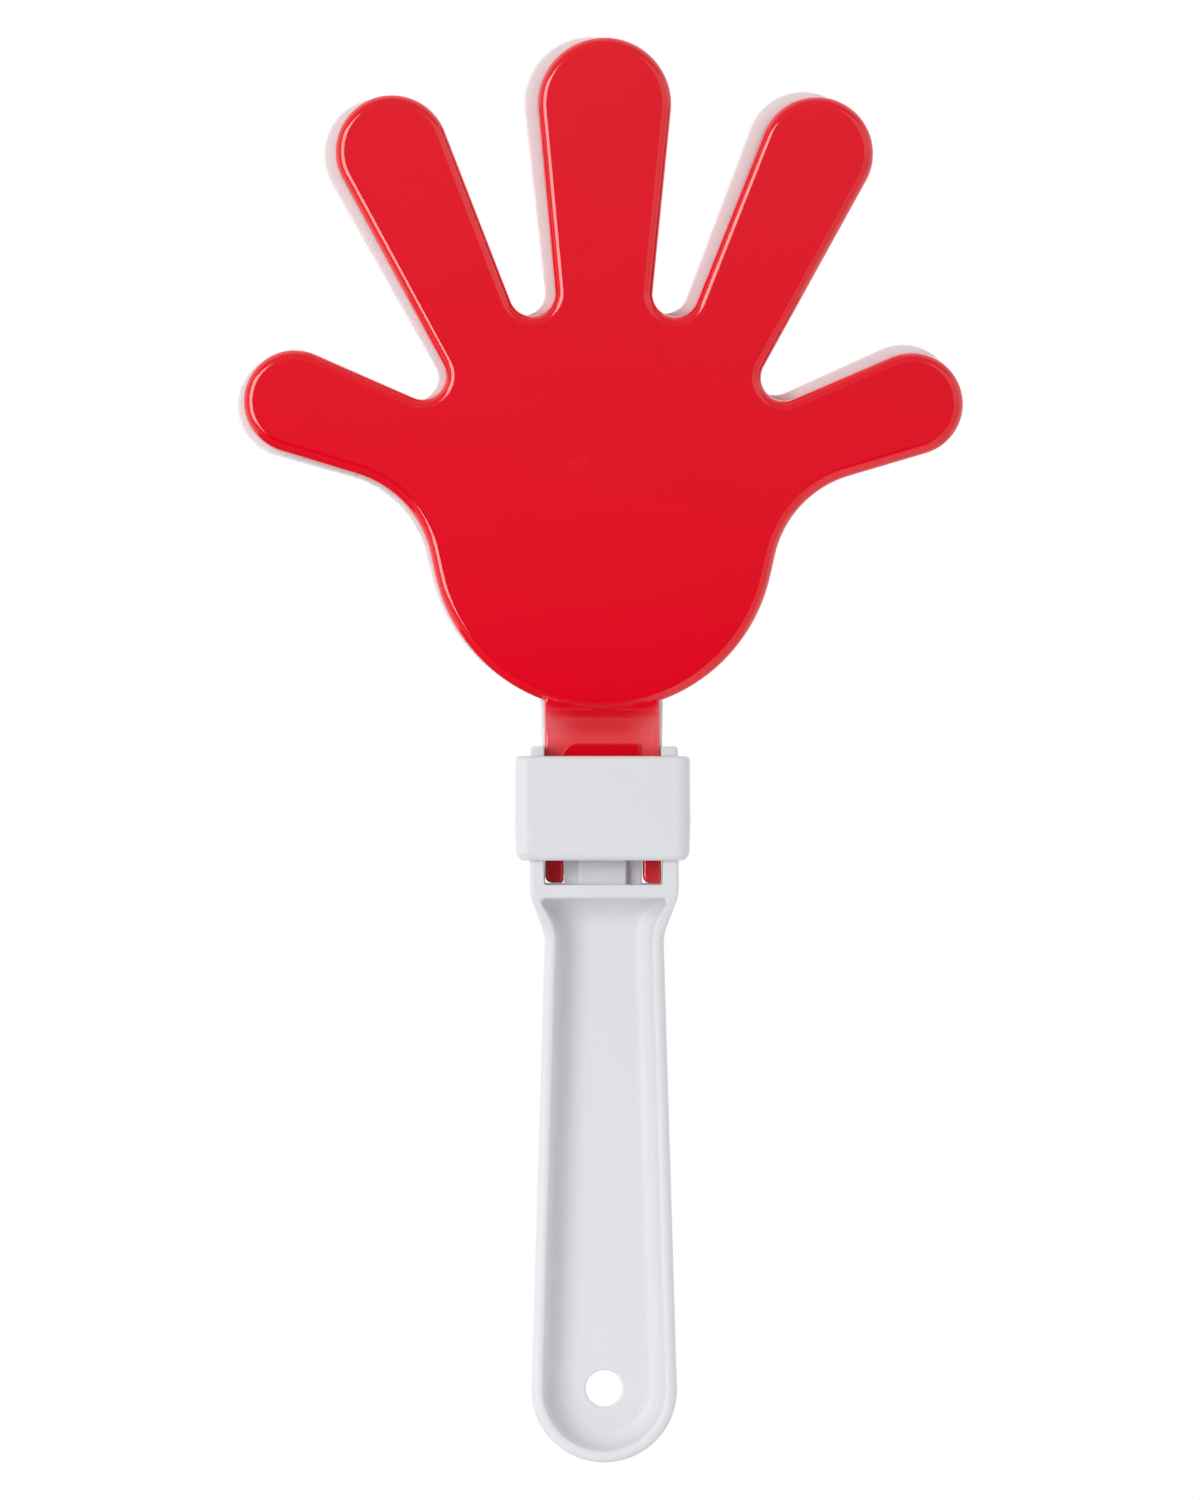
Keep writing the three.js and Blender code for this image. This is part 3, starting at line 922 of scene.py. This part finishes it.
def handle_side(window_low_half, window_top_half):
    """One side of the handle's outline. The window is a little wider at its open end than at its bottom."""
    return [
        (waist_half + bend, waist_height, bend, -1),
        (head_half - bend, shoulder_height, bend, 1),
        (rail_half - rail_corner, rail_top - rail_corner, rail_corner, 1),
        (window_top_half + rail_inner_corner, rail_top - rail_inner_corner, rail_inner_corner, 1),
        (window_low_half - window_corner, window_bottom + window_corner, window_corner, -1),
    ]


right_discs = handle_side(11.4, 11.7)
left_discs = both_sides(handle_side(11.75, 12.45))[len(right_discs):]
handle_discs = [(0.0, end_radius, end_radius, 1)] + right_discs + left_discs
print("handle outline:", len(belt(handle_discs, 0.0, fine_spacing)), "points a ring")

# %% Handle depth and edges
grip_edge = 1.4
head_edge = 0.7
window_edge = 0.24
window_reach = 12.8
edge_change_start = 101.0
edge_change_length = 10.0
right_side_from = 4.0

side_discs = both_sides([
    (grip_half_depth - 1.0, 20.0, 1.0, 1),
    (grip_half_depth + bend, waist_height, bend, -1),
    (head_half_depth - bend, shoulder_height, bend, 1),
    (head_half_depth - 0.3, rail_top + 2.0, 0.3, 1),
])
side_line = belt(side_discs, 0.0, 0.5)
side_line = side_line[side_line[:, 0] > right_side_from]
side_line = side_line[np.argsort(side_line[:, 1])]


def half_depth(z):
    """How far the handle reaches from its middle plane at a height, in millimetres."""
    return float(np.interp(z, side_line[:, 1], side_line[:, 0], left=grip_half_depth))


def edge_radius(x, z):
    """The rounding of the handle's edges: soft on the grip, crisper on the head and round the window."""
    if abs(x) < window_reach and z > window_bottom - 1:
        return window_edge
    along = min(1.0, max(0.0, (z - edge_change_start) / edge_change_length))
    return grip_edge + (head_edge - grip_edge) * along * along * (3 - 2 * along)


print("half depth at grip, bend and head:", [round(half_depth(z), 2) for z in (50, 107, 125)])

# %% [markdown]
# The recess is cut as a mould would form it. Its rim is slightly rounded, its wall leans out by a fraction
# of a millimetre so that the part leaves the mould, and a generous curve leads into the floor.

# %% Recess outline
recess_top = 110.9
rim_width = 2.3
corner_radius = 0.9
corner_slack = 0.001


def recess_discs(inset):
    """The recess at an inset. The upper corners keep their radius and stay tangent to the waist's arc."""
    waist_arc = bend + rim_width + inset
    corner_z = recess_top - corner_radius - inset
    reach = math.sqrt((waist_arc + corner_radius) ** 2 - (corner_z - waist_height) ** 2)
    corner_x = min(head_half - rim_width - corner_radius - inset, waist_half + bend - reach - corner_slack)
    right = [(waist_half + bend, waist_height, waist_arc, -1), (corner_x, corner_z, corner_radius, 1)]
    return [(0.0, end_radius, end_radius - rim_width - inset, 1)] + both_sides(right)


recess_counts = belt_counts(recess_discs(0.0), fine_spacing)


def recess(inset):
    """A ring of the recess at an inset, with the same number of points at every inset."""
    return belt(recess_discs(inset), counts=recess_counts)


print("recess outline:", len(recess(0.0)), "points a ring")

# %% Recess and hole rings
web_half = 1.5
recess_edge = 0.6
recess_draft = 0.5
recess_fillet = 3.2
hole_radius = 3.7
hole_height = 14.0
hole_edge = 0.35
hole_sides = 64


def recess_rings(shape, toward):
    """Rings from the handle's face down the recess wall to the floor. toward is -1 in front, 1 behind."""
    rings = []
    for falling, rising in quarter_turn(4):
        points = recess(-recess_edge * falling)
        depths = [toward * (half_depth(z) - recess_edge * rising) for _, z in points]
        rings.append(new_ring(shape, points, depths))
    for falling, rising in quarter_turn(10):
        points = recess(recess_draft + recess_fillet * rising)
        rings.append(new_ring(shape, points, toward * (web_half + recess_fillet * falling)))
    join_all(shape, rings)
    return rings


def hole_rings(shape, toward):
    """The rounded mouth of the hanging hole on one side of the web."""
    rings = []
    for falling, rising in quarter_turn(3):
        radius = hole_radius + hole_edge * falling
        points = [(radius * c, hole_height + radius * s) for c, s in circle(hole_sides)]
        rings.append(new_ring(shape, points, toward * (web_half - hole_edge * rising)))
    join_all(shape, rings)
    return rings


print("web", 2 * web_half, "mm thick, hole", 2 * hole_radius, "mm wide")

# %% Handle body
bend_rows = np.arange(99.0, 115.0, 0.6)

shape = bmesh.new()
outline = lambda inset: belt(handle_discs, inset, fine_spacing)
sides = {}
for toward in (-1, 1):
    surface = lambda z: toward * half_depth(z)
    rim = rounded_rings(shape, outline, surface, edge_radius, toward)
    pocket = recess_rings(shape, toward)
    mouth = hole_rings(shape, toward)
    fill(shape, [rim[-1], pocket[0]], surface, bend_rows)
    fill(shape, [pocket[-1], mouth[0]], lambda z: toward * web_half)
    sides[toward] = (rim[0], mouth[-1])
for ahead, behind in zip(sides[-1], sides[1]):
    join_rings(shape, ahead, behind)
handle = to_object(shape, "handle_moulding")
print("handle body faces:", len(handle.data.polygons))

# %% [markdown]
# Between the legs stands a thin web with a stout pillar on it. It keeps the legs against the rails, so the
# lugs cannot slip out of their holes. The holes go right through the rails and hide behind the collar. At
# the top, each rail has a small lip in front that reaches up to the red neck and leaves room behind it for
# the wider white one.

# %% Web, pillar, lips and lug holes
post_foot = window_bottom - 1.4
post_top = 125.5
lip_bottom = 133.98
lip_back = -1.2
lip_edge = 0.2
lip_corner = 0.22
lug_hole_radius = 1.5
drill_reach = 20.0
drill_chamfer = 0.2

for name, middle, half, corner, reach, edge in (
    ("leg_web", -0.25, 7.65, 0.4, 4.7, 0.3), ("pillar", -0.35, 4.75, 0.6, 6.8, 0.45),
):
    discs = plate(middle - half, middle + half, post_foot - corner, post_top, (corner,) * 4)
    add_slab(handle, name, discs, -reach, reach, edge)
for left, right in ((11.15, 12.3), (-13.0, -11.8)):
    discs = plate(left, right, lip_bottom, rail_top, (lip_corner,) * 4)
    add_slab(handle, "lip", discs, lambda z: -half_depth(z), lip_back, lip_edge)
for depth in (-pivot_depth, pivot_depth):
    place = Matrix.Translation(Vector((0.0, depth, pivot_height)) * MM)
    drill = round_bar("lug_drill", lug_hole_radius, -drill_reach, drill_reach, drill_chamfer, place)
    combine(handle, drill, "DIFFERENCE")
dress(handle, white_satin)
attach(handle, "handle")
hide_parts("handle")

# %% [markdown]
# ## The collar
#
# The collar is a profile swept round a rectangle with rounded corners, which is just what Geometry Nodes do
# well: one curve for the path, one for the profile, and every size an input. The profile is a tall
# rectangle, softly rounded outside and crisp inside. It remembers how far across the wall each point lies,
# for the last step.

# %% Collar inputs
collar_sizes = {
    "Path Width": 32.2 * MM, "Path Depth": 23.4 * MM, "Corner Radius": 1.7 * MM, "Wall": 2.1 * MM,
    "Height": 20.45 * MM, "Top Edge": 0.9 * MM, "Bottom Edge": 1.6 * MM, "Inner Edge": 0.4 * MM,
    "Flare": -0.45, "Foot Height": 3.9 * MM, "Foot Taper": 2400.0,
}
collar_tree = bpy.data.node_groups.new("collar_sweep", "GeometryNodeTree")
for name, value in collar_sizes.items():
    socket = collar_tree.interface.new_socket(name=name, in_out="INPUT", socket_type="NodeSocketFloat")
    socket.default_value = value
collar_tree.interface.new_socket(name="Finish", in_out="INPUT", socket_type="NodeSocketMaterial")
collar_tree.interface.new_socket(name="Geometry", in_out="OUTPUT", socket_type="NodeSocketGeometry")
given = node(collar_tree, "NodeGroupInput").outputs
result = node(collar_tree, "NodeGroupOutput").inputs
print("collar inputs:", len(given) - 1)

# %% Collar sweep
plan_corner_steps = 14
section_corner_steps = 10
cuts = 2


def collar_node(kind, values, **settings):
    """A node of the collar with its inputs fed by name. Its first output is given back."""
    made = node(collar_tree, kind, **settings)
    for name, value in values.items():
        feed(collar_tree, made.inputs[name], value)
    return made.outputs[0]


def collar_sum(operation, *values):
    """A Math node of the collar."""
    return calc(collar_tree, operation, *values)


def rounded_rectangle(width, height, radius, steps):
    """A rectangle with rounded corners, and with extra points in each of its segments."""
    curve = collar_node("GeometryNodeCurvePrimitiveQuadrilateral", {"Width": width, "Height": height})
    curve = collar_node("GeometryNodeFilletCurve", {"Curve": curve, "Radius": radius, "Count": steps},
                        mode="POLY")
    return collar_node("GeometryNodeSubdivideCurve", {"Curve": curve, "Cuts": cuts})


plan = rounded_rectangle(given["Path Width"], given["Path Depth"], given["Corner Radius"], plan_corner_steps)

across, along, _ = axes_of(collar_tree, collar_node("GeometryNodeInputPosition", {}))
is_low = collar_sum("GREATER_THAN", along, 0.0)
is_inner = collar_sum("LESS_THAN", across, 0.0)
outer_edge = mix(collar_tree, is_low, given["Top Edge"], given["Bottom Edge"])
any_edge = mix(collar_tree, is_inner, outer_edge, given["Inner Edge"])
section = rounded_rectangle(given["Wall"], given["Height"], any_edge, section_corner_steps)

remember = node(collar_tree, "GeometryNodeCaptureAttribute", domain="POINT")
remember.capture_items.new("FLOAT", "Across")
feed(collar_tree, remember.inputs["Geometry"], section)
feed(collar_tree, remember.inputs["Across"], across)
ring = collar_node("GeometryNodeCurveToMesh", {"Curve": plan, "Profile Curve": remember.outputs["Geometry"]})
print("nodes for the sweep:", len(collar_tree.nodes))

# %% [markdown]
# The last step moves the points. The ring widens a little from side to side towards its lower end, as a
# moulding needs to leave its mould. Near the foot the outer wall draws in again, by the square of how far a
# point lies below the foot line. The inner wall is left out of that, because the handle's head passes close
# inside it.

# %% Collar taper
x, y, z = axes_of(collar_tree, collar_node("GeometryNodeInputPosition", {}))
flare = collar_sum("MULTIPLY", z, given["Flare"])
foot_line = collar_sum("ADD", collar_sum("MULTIPLY", given["Height"], -0.5), given["Foot Height"])
under = collar_sum("MAXIMUM", collar_sum("SUBTRACT", foot_line, z), 0.0)
taper = collar_sum("MULTIPLY", collar_sum("MULTIPLY", under, under), given["Foot Taper"])
from_inside = collar_sum("ADD", collar_sum("DIVIDE", remember.outputs["Across"], given["Wall"]), 0.5)
inward = collar_sum("MULTIPLY", collar_sum("MULTIPLY", taper, -1.0), from_inside)

moved = {"X": collar_sum("ADD", collar_sum("MULTIPLY", x, flare), collar_sum("MULTIPLY", x, inward)),
         "Y": collar_sum("MULTIPLY", y, inward)}
offset = collar_node("ShaderNodeCombineXYZ", moved)
ring = collar_node("GeometryNodeSetPosition", {"Geometry": ring, "Offset": offset})
ring = collar_node("GeometryNodeRealizeInstances", {"Geometry": ring})
ring = collar_node("GeometryNodeSetMaterial", {"Geometry": ring, "Material": given["Finish"]})
feed(collar_tree, result["Geometry"], ring)
print("collar tree nodes:", len(collar_tree.nodes))

# %% [markdown]
# The ring is made round the origin and then lifted to where the frame has it. In the photograph it sits
# three tenths of a millimetre left of the middle, as a loose fit lets it.

# %% Collar
collar_play = -0.3 * MM

collar = bpy.data.objects.new("collar_ring", bpy.data.meshes.new("collar_ring"))
scene.collection.objects.link(collar)
maker = collar.modifiers.new("collar_sweep", "NODES")
maker.node_group = collar_tree
collar_values = {**collar_sizes, "Finish": white_satin}
for socket in collar_tree.interface.items_tree:
    if socket.in_out == "INPUT":
        maker[socket.identifier] = collar_values[socket.name]
bake(collar)
collar_low, collar_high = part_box("slide_collar")
collar.data.transform(Matrix.Translation((collar_play, 0.0, (collar_low.z + collar_high.z) / 2)))
dress(collar, white_satin)
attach(collar, "collar")
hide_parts("slide_collar")
print("collar spans z", round(collar_low.z / MM, 2), "to", round(collar_high.z / MM, 2), "mm")
